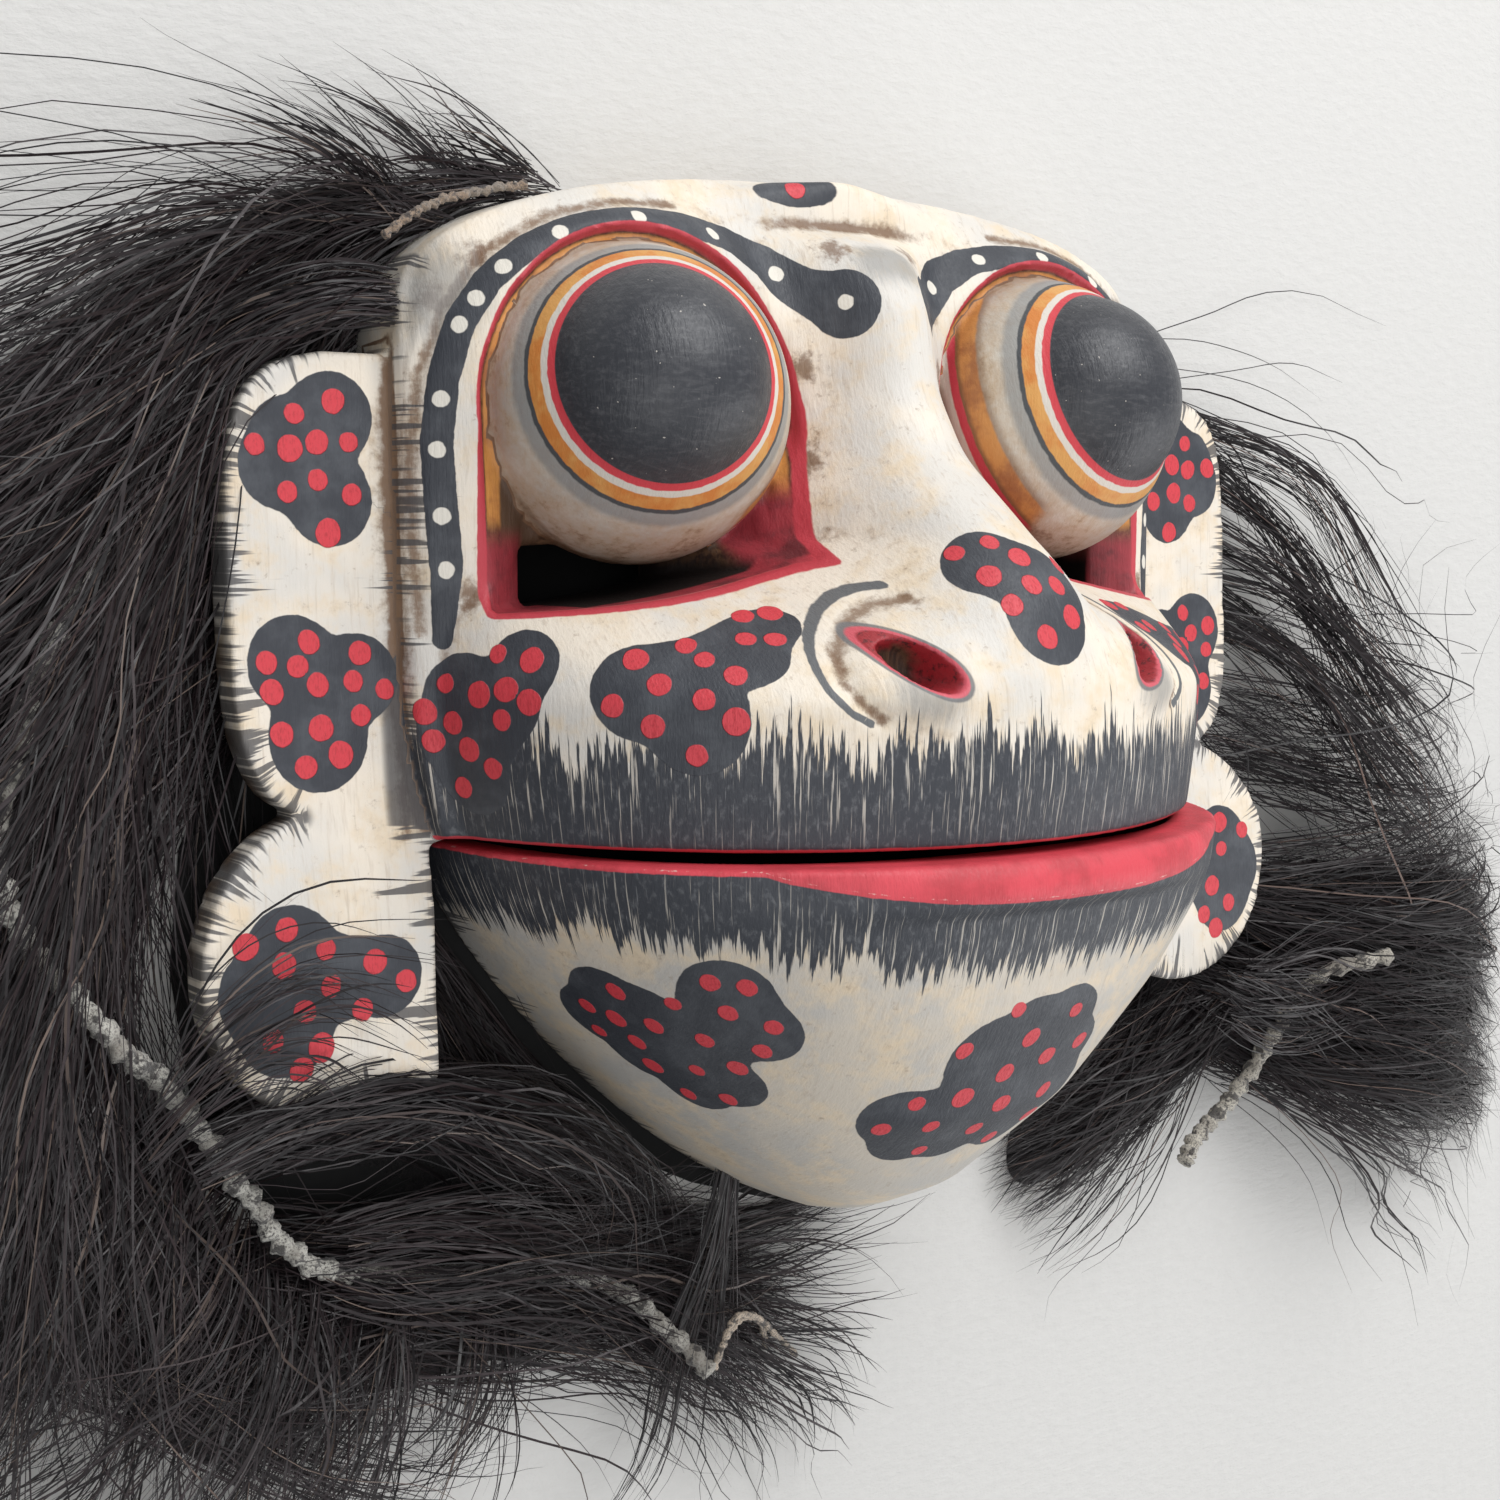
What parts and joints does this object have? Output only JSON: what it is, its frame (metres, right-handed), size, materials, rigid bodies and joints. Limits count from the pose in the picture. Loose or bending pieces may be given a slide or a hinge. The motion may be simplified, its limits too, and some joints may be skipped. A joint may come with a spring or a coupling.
{
  "type": "carved dance mask",
  "caption": "Frog dance mask lying on its open back: carved painted wood face with bulging eyes and flat side panels, clapping lower jaw, long dark hair on knotted cotton cords.",
  "frame": {"origin": "middle of the footprint of the mask and its spread hair, on the plane of the back rim", "axes": "+Z out of the face, away from the surface it lies on; +Y towards the crown; +X towards the mask's left ear"},
  "size_m": [0.4288, 0.2514, 0.0845],
  "materials": {
    "painted_face_wood": "hand painted off-white with charcoal spots and red dots, worn, brown patina in the grooves",
    "painted_jaw_wood": "hand painted off-white with charcoal band and spots, red lip, worn",
    "right_dark_hair": "long coarse dark brown hair",
    "left_dark_hair": "long coarse dark brown hair",
    "right_cotton_cord": "knotted grey-white cotton",
    "left_cotton_cord": "knotted grey-white cotton"
  },
  "bodies": {
    "mask": {"face_block": "painted_face_wood", "right_hair": "right_dark_hair", "left_hair": "left_dark_hair", "right_heading_cord": "right_cotton_cord", "left_heading_cord": "left_cotton_cord"},
    "jaw": {"lower_jaw": "painted_jaw_wood"}
  },
  "joints": [
    {"name": "jaw_swing", "type": "hinge", "parent": "mask", "child": "jaw", "pos_m": [0, 0.006, 0], "axis": [1, 0, 0], "range_deg": [0, 20]}
  ]
}
